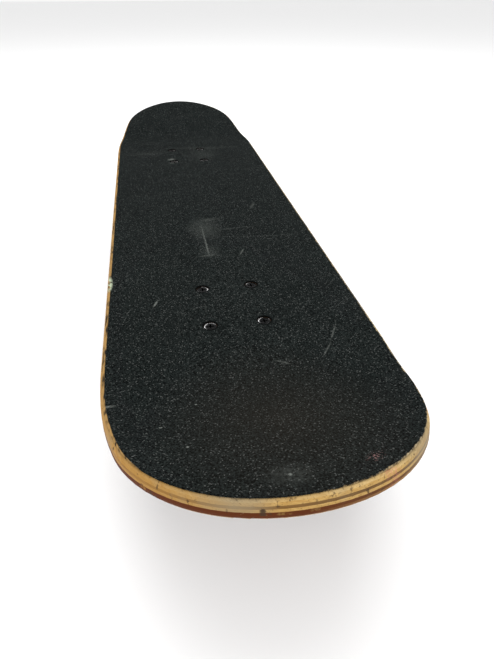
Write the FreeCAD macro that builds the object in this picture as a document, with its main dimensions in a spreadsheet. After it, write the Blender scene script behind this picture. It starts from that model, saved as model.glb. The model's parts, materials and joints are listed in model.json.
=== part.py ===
import FreeCAD, Part
import math
import operator
import os
import Sketcher

# A street skateboard: pressed maple deck with grip tape, two trucks and four wheels on ball bearings.
# Millimetres. +X points to the nose, +Y to the left side and +Z up.
# The origin is on the ground under the middle of the board.

V = FreeCAD.Vector
document = FreeCAD.newDocument("Skateboard")
plies = 7
balls_per_bearing = 7
ends = {"front": 1, "rear": -1}
sides = {"left": 1, "right": -1}

driving_sizes = {
    # deck
    "deck_width": 196.85,
    "ply_thickness": 1.5,
    "edge_round": 3.2,
    "truck_spacing": 403.0,
    "nose_flat": 80.9,
    "tail_flat": 71.7,
    "nose_reach": 219.4,
    "tail_reach": 196.0,
    "nose_taper": 148.8,
    "tail_taper": 166.3,
    "nose_tip_drop": 9.0,
    "tail_tip_drop": 11.0,
    "kick_angle": 20.0,
    "bend_radius": 110.0,
    "concave_flat": 64.0,
    "concave_rise": 5.0,
    "grip_thickness": 0.9,
    "grip_inset": 1.4,
    # bolts through the deck
    "bolt_diameter": 4.8,
    "bolt_head_diameter": 9.5,
    "bolt_tail": 6.0,
    "bolt_spacing_long": 53.98,
    "bolt_spacing_wide": 41.28,
    "small_nut_flats": 9.5,
    "small_nut_height": 6.0,
    # truck
    "truck_height": 53.0,
    "plate_length": 80.0,
    "plate_width": 56.0,
    "plate_thickness": 5.5,
    "ring_back": 20.8,
    "kingpin_tilt": 30.0,
    "steering_tilt": 60.0,
    "kingpin_diameter": 9.5,
    "kingpin_head_flats": 14.3,
    "kingpin_head_height": 6.4,
    "kingpin_head_seat": 9.6,
    "kingpin_end": 1.5,
    "kingpin_nut_height": 8.5,
    "bushing_radius": 12.5,
    "bushing_height": 14.0,
    "cone_tip_radius": 9.5,
    "cone_height": 11.0,
    "washer_thickness": 2.0,
    "washer_lip": 1.0,
    "ring_rim": 4.5,
    "ring_height": 13.0,
    "ring_web": 5.0,
    "ring_play": 3.25,
    "nub_tip_radius": 5.5,
    "nub_root_radius": 6.1,
    "nub_length": 9.5,
    "cup_liner": 2.5,
    "cup_floor": 1.5,
    "cup_wall": 3.0,
    "cup_cover": 1.0,
    "neck_width": 15.0,
    "web_thickness": 10.0,
    "hanger_width": 127.0,
    "hanger_middle_radius": 10.0,
    "hanger_end_radius": 7.4,
    # axle and wheels
    "axle_diameter": 7.92,
    "axle_tail": 1.5,
    "axle_nut_flats": 12.7,
    "axle_nut_height": 7.5,
    "axle_washer_thickness": 1.0,
    "wheel_radius": 26.0,
    "wheel_width": 32.0,
    "tread_width": 19.0,
    "wheel_lip_radius": 18.5,
    "wheel_dish_radius": 15.5,
    "wheel_core_step": 1.4,
    "bearing_spacer": 10.0,
    "bearing_radius": 11.0,
    "bearing_width": 7.0,
    "outer_race_step": 1.25,
    "inner_race_step": 1.4,
    "ball_radius": 1.98,
    "cage_thickness": 1.8,
    "shield_thickness": 0.4,
    "shield_depth": 0.5,
    # clearances
    "running_gap": 0.04,
    "race_gap": 0.07,
    "seat_gap": 0.3,
    "open_gap": 1.8,
}


class Size:
    """A number that carries the sheet expression it comes from."""

    def __init__(self, value, text):
        self.value = value
        self.text = text

    def __add__(self, other):
        return joined(operator.add, self, "+", other)

    def __radd__(self, other):
        return joined(operator.add, other, "+", self)

    def __sub__(self, other):
        return joined(operator.sub, self, "-", other)

    def __rsub__(self, other):
        return joined(operator.sub, other, "-", self)

    def __mul__(self, other):
        return joined(operator.mul, self, "*", other)

    def __rmul__(self, other):
        return joined(operator.mul, other, "*", self)

    def __truediv__(self, other):
        return joined(operator.truediv, self, "/", other)

    def __neg__(self):
        return joined(operator.mul, -1.0, "*", self)


def as_size(number):
    return number if isinstance(number, Size) else Size(float(number), repr(float(number)))


def joined(work, first, sign, second):
    first = as_size(first)
    second = as_size(second)
    return Size(work(first.value, second.value), f"({first.text} {sign} {second.text})")


def root(size):
    return Size(math.sqrt(size.value), f"sqrt({size.text})")


def sine(angle):
    angle = as_size(angle)
    return Size(math.sin(math.radians(angle.value)), f"sin({angle.text})")


def cosine(angle):
    angle = as_size(angle)
    return Size(math.cos(math.radians(angle.value)), f"cos({angle.text})")


class Book:
    """Sizes by name: the driving ones of the sheet, then those worked out from them."""

    def __init__(self, table):
        sheet = document.addObject("Spreadsheet::Sheet", "Sizes")
        for row, (name, value) in enumerate(table.items(), 1):
            sheet.set(f"A{row}", name)
            sheet.set(f"B{row}", str(value))
            sheet.setAlias(f"B{row}", name)
            setattr(self, name, Size(value, f"Sizes.{name}"))
        document.recompute()
        self.worked = document.addObject("App::FeaturePython", "Worked")

    def work_out(self, name, size):
        self.worked.addProperty("App::PropertyFloat", name)
        self.worked.setExpression(name, size.text)
        setattr(self, name, Size(size.value, f"Worked.{name}"))


size = Book(driving_sizes)
size.work_out("wood_thickness", size.ply_thickness * plies)
size.work_out("half_width", size.deck_width / 2)
size.work_out("nose_tip_radius", size.half_width - size.nose_tip_drop)
size.work_out("tail_tip_radius", size.half_width - size.tail_tip_drop)
size.work_out("deck_bottom", size.wheel_radius + size.truck_height)
size.work_out("deck_top", size.deck_bottom + size.wood_thickness)
size.work_out("bend_run", size.bend_radius * sine(size.kick_angle))
size.work_out("bend_rise", size.bend_radius * (1 - cosine(size.kick_angle)))
size.work_out("bend_corner", size.bend_radius * sine(size.kick_angle / 2) / cosine(size.kick_angle / 2))
size.work_out("bend_length", size.bend_radius * size.kick_angle * math.pi / 180)


def kick_length(flat, reach):
    """From the corner where the flat and the kick would meet to the tip, along the kick."""
    return reach - flat - size.bend_length + size.bend_corner


def tip_distance(flat, kick):
    """From a truck's centre to the outermost point of the rounded tip, level."""
    slope = kick * cosine(size.kick_angle) + size.wood_thickness * sine(size.kick_angle)
    rounding = size.edge_round * (1 - cosine(size.kick_angle) - sine(size.kick_angle))
    return flat + size.bend_corner + slope + rounding


size.work_out("nose_kick", kick_length(size.nose_flat, size.nose_reach))
size.work_out("tail_kick", kick_length(size.tail_flat, size.tail_reach))
size.work_out("nose_tip", tip_distance(size.nose_flat, size.nose_kick))
size.work_out("tail_tip", tip_distance(size.tail_flat, size.tail_kick))
size.work_out("front_truck", (size.truck_spacing + size.tail_tip - size.nose_tip) / 2)
size.work_out("rear_truck", size.front_truck - size.truck_spacing)
truck_centre = {"front": size.front_truck, "rear": size.rear_truck}


def place(thing, x=0, y=0, z=0, axis=(0, 0, 1), angle=0):
    """Binds where a thing stands and how far it is turned about one axis."""
    angle = as_size(angle)
    thing.Placement = FreeCAD.Placement(V(), FreeCAD.Rotation(V(*axis), angle.value))
    for name, value in zip("xyz", (x, y, z)):
        thing.setExpression(f"Placement.Base.{name}", as_size(value).text)
    if angle.value:
        thing.setExpression("Placement.Rotation.Angle", angle.text)
    return thing


def place_on_truck(thing, end, x=0, z=0, tilt=None):
    """Places a thing from the middle of a truck's axle; the rear truck is the front one turned round."""
    facing = ends[end]
    level_x = truck_centre[end] + as_size(x) * facing
    height = size.wheel_radius + z
    if tilt is not None:
        return place(thing, level_x, 0, height, (0, facing, 0), tilt)
    return place(thing, level_x, 0, height, (0, 0, 1), 0 if facing > 0 else 180)


def add_outline(sketch, points):
    """Adds a closed outline. A third number makes the stretch to the next point an arc of that radius:
    turning left where it is positive and right where it is negative."""
    count = len(points)
    first_edge = sketch.GeometryCount
    corners = [V(as_size(point[0]).value, as_size(point[1]).value, 0) for point in points]
    starts = []
    for index, point in enumerate(points):
        start = corners[index]
        end = corners[(index + 1) % count]
        if len(point) == 2:
            sketch.addGeometry(Part.LineSegment(start, end))
            starts.append(1)
            continue
        radius = point[2].value if isinstance(point[2], Size) else point[2]
        chord = end - start
        across = V(-chord.y, chord.x, 0).normalize() * math.copysign(1, radius)
        centre = (start + end) / 2 + across * math.sqrt(radius ** 2 - chord.Length ** 2 / 4)
        first, last = (start, end) if radius > 0 else (end, start)
        angles = [math.atan2(each.y - centre.y, each.x - centre.x) for each in (first, last)]
        circle = Part.Circle(centre, V(0, 0, 1), abs(radius))
        sketch.addGeometry(Part.ArcOfCircle(circle, angles[0], angles[1]))
        starts.append(1 if radius > 0 else 2)
    for index in range(count):
        edge = first_edge + index
        after = (index + 1) % count
        joint = Sketcher.Constraint("Coincident", edge, 3 - starts[index], first_edge + after, starts[after])
        sketch.addConstraint(joint)
    for index, point in enumerate(points):
        edge = first_edge + index
        for kind, value in (("DistanceX", as_size(point[0])), ("DistanceY", as_size(point[1]))):
            number = sketch.addConstraint(Sketcher.Constraint(kind, -1, 1, edge, starts[index], value.value))
            if "." in value.text.replace(".0", ""):
                sketch.setExpression(f"Constraints[{number}]", value.text)
        if len(point) == 3:
            radius = as_size(point[2])
            number = sketch.addConstraint(Sketcher.Constraint("Radius", edge, abs(radius.value)))
            sketch.setExpression(f"Constraints[{number}]", radius.text if radius.value > 0 else (-radius).text)


def add_circle(sketch, radius):
    edge = sketch.addGeometry(Part.Circle(V(), V(0, 0, 1), radius.value))
    sketch.addConstraint(Sketcher.Constraint("Coincident", edge, 3, -1, 1))
    number = sketch.addConstraint(Sketcher.Constraint("Radius", edge, radius.value))
    sketch.setExpression(f"Constraints[{number}]", radius.text)


def new_body(label):
    body = document.addObject("PartDesign::Body", label)
    body.Label = label
    return body


def new_sketch(body, role, *outlines):
    sketch = body.newObject("Sketcher::SketchObject", "outline")
    plane = [feature for feature in body.Origin.OriginFeatures if feature.Role == role][0]
    sketch.AttachmentSupport = (plane, [""])
    sketch.MapMode = "FlatFace"
    for outline in outlines:
        if isinstance(outline, Size):
            add_circle(sketch, outline)
        else:
            add_outline(sketch, outline)
    return sketch


def turned(label, points):
    """A body turned about its own Z axis; points are (radius, height)."""
    body = new_body(label)
    sketch = new_sketch(body, "XZ_Plane", points)
    feature = body.newObject("PartDesign::Revolution", "turned")
    feature.Profile = sketch
    feature.ReferenceAxis = (sketch, ["V_Axis"])
    feature.Angle = 360
    sketch.Visibility = False
    return body


def padded(label, role, height, *outlines, middle=False):
    """A body padded from one plane of its own origin."""
    body = new_body(label)
    feature = body.newObject("PartDesign::Pad", "padded")
    feature.Profile = new_sketch(body, role, *outlines)
    feature.Midplane = middle
    feature.setExpression("Length", as_size(height).text)
    return body


def pocketed(body, role, depth, *outlines, flip=False):
    feature = body.newObject("PartDesign::Pocket", "pocketed")
    feature.Profile = new_sketch(body, role, *outlines)
    feature.Reversed = flip
    feature.setExpression("Length", as_size(depth).text)
    return body


def cylinder(label, radius, height):
    piece = document.addObject("Part::Cylinder", label)
    piece.setExpression("Radius", as_size(radius).text)
    piece.setExpression("Height", as_size(height).text)
    return piece


def merge(kind, label, pieces):
    """A Part::MultiFuse, Part::MultiCommon or Part::Compound of several pieces."""
    result = document.addObject(kind, label)
    setattr(result, "Links" if kind == "Part::Compound" else "Shapes", pieces)
    result.Label = label
    return result


def cut(label, base, tools):
    tool = tools[0] if len(tools) == 1 else merge("Part::MultiFuse", label + "_tools", tools)
    result = document.addObject("Part::Cut", label)
    result.Base = base
    result.Tool = tool
    result.Label = label
    return result


def copies(label, master, places):
    """One node of several separate copies of a piece; places holds keyword sets for place()."""
    links = []
    for number, where in enumerate(places):
        link = document.addObject("App::Link", f"{label}_{number + 1}")
        link.LinkedObject = master
        link.LinkTransform = False
        links.append(place(link, **where))
    return merge("Part::Compound", label, links)


def hexagon(flats):
    corner = flats / 2 / cosine(30)
    return [(corner * cosine(60 * step), corner * sine(60 * step)) for step in range(6)]


def rectangle(left, bottom, right, top):
    return [(left, bottom), (right, bottom), (right, top), (left, top)]


def rounded_rectangle(length, width, corner):
    x = as_size(length) / 2
    y = as_size(width) / 2
    return [(-x, corner - y, as_size(corner)), (corner - x, -y), (x - corner, -y, as_size(corner)), (x, corner - y),
            (x, y - corner, as_size(corner)), (x - corner, y), (corner - x, y, as_size(corner)), (-x, y - corner)]


nodes = []


def node(piece):
    nodes.append(piece)
    return piece


# ---- deck ----

def make_spine():
    """The line that the deck's wood top follows along its middle, past both tips."""
    spine = document.addObject("Sketcher::SketchObject", "deck_line")
    spare = size.deck_width / 4
    stations = []
    for end, flat, kick in (("rear", size.tail_flat, size.tail_kick), ("front", size.nose_flat, size.nose_kick)):
        facing = ends[end]
        bend = truck_centre[end] + flat * facing
        straight = kick - size.bend_corner + spare
        far_x = bend + (size.bend_run + straight * cosine(size.kick_angle)) * facing
        far_z = size.bend_rise + straight * sine(size.kick_angle)
        stations.append([(bend, 0), (bend + size.bend_run * facing, size.bend_rise), (far_x, far_z)])
    rear, front = stations
    corners = [rear[2], rear[1], rear[0], front[0], front[1], front[2]]
    points = [V(as_size(x).value, as_size(z).value, 0) for x, z in corners]
    for index in range(5):
        start = points[index]
        end = points[index + 1]
        if index in (1, 3):
            flat_end = end if index == 1 else start
            centre = flat_end + V(0, size.bend_radius.value, 0)
            angles = [math.atan2(each.y - centre.y, each.x - centre.x) for each in (start, end)]
            circle = Part.Circle(centre, V(0, 0, 1), size.bend_radius.value)
            edge = spine.addGeometry(Part.ArcOfCircle(circle, angles[0], angles[1]))
            number = spine.addConstraint(Sketcher.Constraint("Radius", edge, size.bend_radius.value))
            spine.setExpression(f"Constraints[{number}]", size.bend_radius.text)
        else:
            spine.addGeometry(Part.LineSegment(start, end))
    for index in range(4):
        spine.addConstraint(Sketcher.Constraint("Coincident", index, 2, index + 1, 1))
    for index, (x, z) in enumerate(corners):
        edge, vertex = (index, 1) if index < 5 else (4, 2)
        for kind, value in (("DistanceX", as_size(x)), ("DistanceY", as_size(z))):
            number = spine.addConstraint(Sketcher.Constraint(kind, -1, 1, edge, vertex, value.value))
            if value.value:
                spine.setExpression(f"Constraints[{number}]", value.text)
    return place(spine, axis=(1, 0, 0), angle=90), stations[0]


size.work_out("concave_run", size.half_width - size.concave_flat / 2)
concave_square = size.concave_run * size.concave_run + size.concave_rise * size.concave_rise
size.work_out("concave_radius", concave_square / size.concave_rise / 2)
size.work_out("section_sine", (size.concave_run + size.edge_round * 4) / size.concave_radius)
size.work_out("section_cosine", root(1 - size.section_sine * size.section_sine))


def make_slab(label, spine, tail_stations, low, high):
    """One dished layer between two offsets from the wood top, wider and longer than the deck."""
    def rim(offset, side):
        radius = size.concave_radius - offset
        across = (size.concave_flat / 2 + radius * size.section_sine) * side
        return across, size.concave_radius - radius * size.section_cosine

    low = as_size(low)
    high = as_size(high)
    flat = size.concave_flat / 2
    low_radius = size.concave_radius - low
    high_radius = size.concave_radius - high
    outline = [(-flat, low), (flat, low, low_radius), rim(low, 1), (*rim(high, 1), -high_radius), (flat, high),
               (-flat, high, -high_radius), rim(high, -1), (*rim(low, -1), low_radius)]
    section = document.addObject("Sketcher::SketchObject", label + "_section")
    add_outline(section, outline)
    upright = FreeCAD.Rotation(V(0, 0, 1), 90).multiply(FreeCAD.Rotation(V(1, 0, 0), 90))
    lean = FreeCAD.Rotation(V(0, 1, 0), size.kick_angle.value)
    section.Placement = FreeCAD.Placement(V(), lean.multiply(upright))
    section.setExpression("Placement.Base.x", tail_stations[2][0].text)
    section.setExpression("Placement.Base.z", tail_stations[2][1].text)
    slab = document.addObject("Part::Sweep", label)
    slab.Sections = [section]
    slab.Spine = (spine, [f"Edge{number}" for number in range(1, 6)])
    slab.Solid = True
    slab.Transition = "Right corner"
    return slab


def make_end(label, end, inset):
    """A prism square to one kick whose round outline trims that end; it runs on past the other end."""
    nose = end == "front"
    facing = ends[end]
    flat = size.nose_flat if nose else size.tail_flat
    kick = size.nose_kick if nose else size.tail_kick
    taper = size.nose_taper if nose else size.tail_taper
    tip_radius = size.nose_tip_radius if nose else size.tail_tip_radius
    lead = taper - tip_radius
    spread = lead * lead + size.half_width * size.half_width - tip_radius * tip_radius
    size.work_out(label + "_side_radius", spread / (size.half_width - tip_radius) / 2)
    full_radius = getattr(size, label + "_side_radius")
    side_radius = full_radius - inset
    round_radius = tip_radius - inset
    taper_start = kick - taper
    tip_centre = kick - tip_radius
    reach = full_radius - tip_radius
    join_x = tip_centre + round_radius * (tip_centre - taper_start) / reach
    join_y = round_radius * (full_radius - size.half_width) / reach
    edge = size.half_width - inset
    back = -2 * size.truck_spacing
    outline = [(back, -edge), (taper_start, -edge, side_radius), (join_x, -join_y, round_radius),
               (kick - inset, 0, round_radius), (join_x, join_y, side_radius), (taper_start, edge), (back, edge)]
    body = padded(label, "XY_Plane", size.deck_width * 4, outline, middle=True)
    turn = FreeCAD.Rotation(V(0, 1, 0), -size.kick_angle.value) if nose else FreeCAD.Rotation(
        V(0, 0, 1), 180).multiply(FreeCAD.Rotation(V(0, 1, 0), -size.kick_angle.value))
    body.Placement = FreeCAD.Placement(V(), turn)
    body.setExpression("Placement.Base.x", (truck_centre[end] + (flat + size.bend_corner) * facing).text)
    return body


def bolt_places(end, height):
    spread = size.bolt_spacing_long / 2
    across = size.bolt_spacing_wide / 2
    return [dict(x=truck_centre[end] + spread * along, y=across * side, z=height)
            for along in (1, -1) for side in (1, -1)]


def middle_of(face):
    first_u, last_u, first_v, last_v = face.ParameterRange
    return face.normalAt((first_u + last_u) / 2, (first_v + last_v) / 2)


def rim_edges(shape):
    """Edges where the deck's cut side meets its top or bottom."""
    walls = [face for face in shape.Faces if abs(middle_of(face).z) < 0.6]
    found = []
    for number, edge in enumerate(shape.Edges, 1):
        beside = sum(any(edge.isSame(other) for other in wall.Edges) for wall in walls)
        if beside == 1:
            found.append(number)
    return found


def make_deck():
    spine, tail_stations = make_spine()
    spare = size.ply_thickness
    block = make_slab("deck_block", spine, tail_stations, -size.wood_thickness, 0)
    wood_ends = [make_end("nose_outline", "front", 0), make_end("tail_outline", "rear", 0)]
    blank = merge("Part::MultiCommon", "deck_blank", [block] + wood_ends)
    document.recompute()
    rounded = document.addObject("Part::Fillet", "deck_rounded")
    rounded.Base = blank
    radius = size.edge_round.value
    rounded.Edges = [(number, radius, radius) for number in rim_edges(blank.Shape)]
    hole = turned("bolt_hole", sunk_profile(size.running_gap, size.wood_thickness + spare))
    holes = merge("Part::Compound", "bolt_holes", [
        copies(f"{end}_bolt_holes", hole, bolt_places(end, 0)) for end in ends])
    drilled = cut("deck_drilled", rounded, [holes])
    for number in range(plies):
        name = "_top" if number == 0 else "_bottom" if number == plies - 1 else ""
        low = -size.ply_thickness * (number + 1) - (spare if number == plies - 1 else 0)
        high = -size.ply_thickness * number + (spare if number == 0 else 0)
        layer = make_slab(f"layer_{number + 1}", spine, tail_stations, low, high)
        ply = merge("Part::MultiCommon", f"ply_{number + 1}{name}", [drilled, layer])
        node(place(ply, z=size.deck_top))
    tape = make_slab("tape", spine, tail_stations, 0, size.grip_thickness)
    tape_ends = [make_end("grip_nose", "front", size.grip_inset), make_end("grip_tail", "rear", size.grip_inset)]
    sheet = merge("Part::MultiCommon", "grip_sheet", [tape] + tape_ends)
    opening = cylinder("grip_hole", size.bolt_head_diameter / 2 + size.seat_gap, size.grip_thickness * 3)
    openings = [copies(f"{end}_grip_holes", opening, bolt_places(end, -size.grip_thickness)) for end in ends]
    node(place(cut("grip_tape", sheet, openings), z=size.deck_top))


def sunk_profile(gap, depth):
    """Half outline of a countersunk bolt, its head level with the wood top; a gap makes it the hole."""
    head = size.bolt_head_diameter / 2 + gap
    shank = size.bolt_diameter / 2 + gap
    return [(0, -depth), (shank, -depth), (shank, shank - head), (head, 0), (0, 0)]


def make_deck_bolts(end):
    length = size.wood_thickness + size.plate_thickness + size.small_nut_height + size.bolt_tail
    bolt = turned(f"{end}_bolt", sunk_profile(0, length))
    slot = size.bolt_diameter / 8
    arm = size.bolt_diameter * 0.55
    cross = [(slot, -arm), (slot, -slot), (arm, -slot), (arm, slot), (slot, slot), (slot, arm),
             (-slot, arm), (-slot, slot), (-arm, slot), (-arm, -slot), (-slot, -slot), (-slot, -arm)]
    pocketed(bolt, "XY_Plane", size.bolt_diameter / 3, cross)
    node(copies(f"{end}_deck_bolts", bolt, bolt_places(end, size.deck_top)))
    nut = padded(f"{end}_nut", "XY_Plane", size.small_nut_height, hexagon(size.small_nut_flats),
                 size.bolt_diameter / 2 + size.running_gap)
    height = size.deck_bottom - size.plate_thickness - size.small_nut_height
    node(copies(f"{end}_deck_nuts", nut, bolt_places(end, height)))


# ---- trucks, in a frame at the middle of the axle with X outboard ----

size.work_out("ring_half", size.ring_height / 2)
size.work_out("ring_radius", size.bushing_radius + size.ring_rim)
size.work_out("ring_hole_radius", size.kingpin_diameter / 2 + size.ring_play)
size.work_out("cone_radius", size.bushing_radius - 0.5)
size.work_out("upper_washer_radius", size.bushing_radius + size.washer_lip)
size.work_out("lower_washer_radius", size.cone_tip_radius + size.washer_lip * 1.5)
size.work_out("seat_height", size.ring_web / 2)
size.work_out("washer_height", size.seat_height + size.bushing_height)
size.work_out("plate_seat", size.washer_height + size.washer_thickness)
size.work_out("kingpin_grip", size.plate_seat + size.kingpin_head_seat)
size.work_out("nut_top", -size.seat_height - size.cone_height - size.washer_thickness)
size.work_out("kingpin_tail", size.kingpin_nut_height + size.kingpin_end - size.nut_top)
size.work_out("washer_clear", size.upper_washer_radius + size.open_gap)
size.work_out("axes_angle", size.steering_tilt - size.kingpin_tilt)
nub_room = size.washer_clear + size.nub_root_radius * cosine(size.axes_angle)
size.work_out("nub_start", nub_room / sine(size.axes_angle))
size.work_out("nub_end", size.nub_start + size.nub_length)
size.work_out("cup_radius", size.nub_tip_radius + size.cup_liner)
size.work_out("cup_start", size.nub_start + size.open_gap / 2)
size.work_out("cup_end", size.nub_end + size.cup_floor)
size.work_out("cup_boss_radius", size.cup_radius + size.cup_wall)
cup_rise = size.cup_end * cosine(size.steering_tilt) + size.cup_radius * sine(size.steering_tilt)
size.work_out("ring_rise", size.truck_height - size.cup_cover - cup_rise)


def along_kingpin(up, out=0):
    """Level and height of a point by its distance up the kingpin from the ring, and outboard of it."""
    x = up * sine(size.kingpin_tilt) + out * cosine(size.kingpin_tilt) - size.ring_back
    z = up * cosine(size.kingpin_tilt) - out * sine(size.kingpin_tilt) + size.ring_rise
    return x, z


def along_steering(out, up=0):
    """Level and height of a point by its distance out along the steering axis, and above it."""
    x = out * sine(size.steering_tilt) - up * cosine(size.steering_tilt) - size.ring_back
    z = out * cosine(size.steering_tilt) + up * sine(size.steering_tilt) + size.ring_rise
    return x, z


def on_kingpin(piece, up):
    x, z = along_kingpin(up)
    return place(piece, x, 0, z, (0, 1, 0), size.kingpin_tilt)


def on_steering(piece, out):
    x, z = along_steering(out)
    return place(piece, x, 0, z, (0, 1, 0), size.steering_tilt)


def make_baseplate(end):
    top = size.truck_height
    under = top - size.plate_thickness
    corner = size.plate_thickness * 1.6
    flange = place(padded(f"{end}_flange", "XY_Plane", size.plate_thickness,
                          rounded_rectangle(size.plate_length, size.plate_width, corner)), z=under)
    seat = on_kingpin(cylinder(f"{end}_seat", size.upper_washer_radius, size.truck_height), size.plate_seat)
    boss = on_steering(cylinder(f"{end}_cup_boss", size.cup_boss_radius, size.nub_length + size.cup_wall),
                       size.cup_start)
    body = merge("Part::MultiFuse", f"{end}_plate_body", [flange, seat, boss])
    bore = on_kingpin(cylinder(f"{end}_kingpin_bore", size.kingpin_diameter / 2 + size.running_gap,
                               size.truck_height), size.seat_height)
    pocket = on_kingpin(padded(f"{end}_head_pocket", "XY_Plane", size.truck_height,
                               hexagon(size.kingpin_head_flats + size.running_gap * 2)), size.kingpin_grip)
    socket = on_steering(cylinder(f"{end}_cup_socket", size.cup_radius, size.cup_end - size.nub_start),
                         size.nub_start)
    trim = place(padded(f"{end}_trim", "XY_Plane", size.truck_height,
                        rounded_rectangle(size.plate_length * 2, size.plate_width * 2, corner)), z=top)
    drill = cylinder(f"{end}_plate_drill", size.bolt_diameter / 2 + size.running_gap, size.plate_thickness * 3)
    spread = size.bolt_spacing_long / 2
    across = size.bolt_spacing_wide / 2
    holes = copies(f"{end}_plate_holes", drill, [
        dict(x=spread * along, y=across * side, z=under - size.plate_thickness)
        for along in (1, -1) for side in (1, -1)])
    plate = cut(f"{end}_baseplate", body, [bore, pocket, socket, trim, holes])
    node(place_on_truck(plate, end))


def make_pivot_cup(end):
    nub = size.nub_tip_radius + size.seat_gap
    mouth = size.nub_root_radius + size.seat_gap * 2
    length = size.cup_end - size.cup_start
    floor = size.nub_end + size.seat_gap - size.cup_start
    cup = turned(f"{end}_pivot_cup", [
        (mouth, 0), (size.cup_radius, 0), (size.cup_radius, length), (0, length), (0, floor), (nub, floor)])
    x, z = along_steering(size.cup_start)
    node(place_on_truck(cup, end, x, z, size.steering_tilt))


def make_kingpin_set(end):
    def stack(label, up, points):
        x, z = along_kingpin(up)
        node(place_on_truck(turned(f"{end}_{label}", points), end, x, z, size.kingpin_tilt))

    shank = size.kingpin_diameter / 2
    hole = shank + size.seat_gap
    washer = size.washer_thickness
    pin = turned(f"{end}_kingpin", [
        (0, -size.kingpin_tail), (shank - 1, -size.kingpin_tail), (shank, 1 - size.kingpin_tail),
        (shank, size.kingpin_grip), (0, size.kingpin_grip)])
    head = pin.newObject("PartDesign::Pad", "head")
    sketch = new_sketch(pin, "XY_Plane", hexagon(size.kingpin_head_flats))
    sketch.AttachmentOffset = FreeCAD.Placement(V(0, 0, size.kingpin_grip.value), FreeCAD.Rotation())
    sketch.setExpression("AttachmentOffset.Base.z", size.kingpin_grip.text)
    head.Profile = sketch
    head.setExpression("Length", size.kingpin_head_height.text)
    x, z = along_kingpin(0)
    node(place_on_truck(pin, end, x, z, size.kingpin_tilt))
    stack("upper_bushing", size.seat_height, [
        (hole, 0), (size.bushing_radius, 0), (size.bushing_radius, size.bushing_height),
        (hole, size.bushing_height)])
    stack("upper_washer", size.washer_height, [
        (hole, 0), (size.upper_washer_radius, 0), (size.upper_washer_radius, washer), (hole, washer)])
    stack("lower_bushing", -size.seat_height - size.cone_height, [
        (hole, 0), (size.cone_tip_radius, 0), (size.cone_radius, size.cone_height), (hole, size.cone_height)])
    stack("lower_washer", size.nut_top, [
        (hole, 0), (size.lower_washer_radius, 0), (size.lower_washer_radius, washer), (hole, washer)])
    nut = padded(f"{end}_kingpin_nut", "XY_Plane", size.kingpin_nut_height, hexagon(size.kingpin_head_flats),
                 shank + size.running_gap)
    x, z = along_kingpin(size.nut_top - size.kingpin_nut_height)
    node(place_on_truck(nut, end, x, z, size.kingpin_tilt))


def make_hanger(end):
    half = size.hanger_width / 2
    middle = size.hanger_middle_radius
    tip = size.hanger_end_radius
    tube = turned(f"{end}_tube", [(0, -half), (tip, -half), (middle, -size.ring_radius), (middle, size.ring_radius),
                                  (tip, half), (0, half)])
    place(tube, axis=(-1, 0, 0), angle=90)
    ring = on_kingpin(cylinder(f"{end}_ring", size.ring_radius, size.ring_height), -size.ring_half)
    size_name = f"{end}_ring_distance"
    size.work_out(size_name, root(size.ring_back * size.ring_back + size.ring_rise * size.ring_rise))
    distance = getattr(size, size_name)
    rise = Size(math.degrees(math.atan2(size.ring_rise.value, size.ring_back.value)),
                f"(atan2({size.ring_rise.text}; {size.ring_back.text}) / 1 deg)")
    span = half * 0.8
    narrow = size.ring_radius * 0.8
    web = padded(f"{end}_web", "XY_Plane", size.web_thickness,
                 [(0, -span), (distance, -narrow), (distance, narrow), (0, span)], middle=True)
    place(web, axis=(0, 1, 0), angle=180 + rise)
    top_out = (size.nub_start - size.washer_clear * sine(size.axes_angle)) / cosine(size.axes_angle)
    neck = padded(f"{end}_neck", "XZ_Plane", size.neck_width, [
        (-middle * 0.9, 0), along_kingpin(size.ring_half - size.ring_web, size.washer_clear),
        along_kingpin(top_out, size.washer_clear), along_steering(size.nub_start, -size.nub_root_radius * 1.2),
        (middle * 0.9, 0)], middle=True)
    rooted = size.nub_root_radius / 2
    nub_height = size.nub_length + rooted
    nub = on_steering(turned(f"{end}_nub", [
        (0, 0), (size.nub_root_radius, 0),
        (size.nub_tip_radius, nub_height - size.nub_tip_radius, size.nub_tip_radius),
        (0, nub_height)]), size.nub_start - rooted)
    body = merge("Part::MultiFuse", f"{end}_hanger_body", [tube, ring, web, neck, nub])
    hole = on_kingpin(cylinder(f"{end}_ring_hole", size.ring_hole_radius, size.ring_height * 2), -size.ring_height)
    upper = on_kingpin(cylinder(f"{end}_upper_seat", size.bushing_radius + size.seat_gap, size.ring_height),
                       size.seat_height)
    lower = on_kingpin(cylinder(f"{end}_lower_seat", size.cone_radius + size.seat_gap, size.ring_height),
                       -size.seat_height - size.ring_height)
    room = size.upper_washer_radius + size.open_gap / 2
    clear = on_kingpin(cylinder(f"{end}_washer_room", room, size.truck_height), size.ring_half)
    under = on_kingpin(cylinder(f"{end}_nut_room", size.cone_radius + size.open_gap, size.truck_height),
                       -size.ring_half - size.truck_height)
    bore = place(cylinder(f"{end}_axle_bore", size.axle_diameter / 2 + size.running_gap, size.hanger_width * 2),
                 y=-size.hanger_width, axis=(-1, 0, 0), angle=90)
    node(place_on_truck(cut(f"{end}_hanger", body, [hole, upper, lower, clear, under, bore]), end))


# ---- axles, wheels and bearings ----

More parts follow.
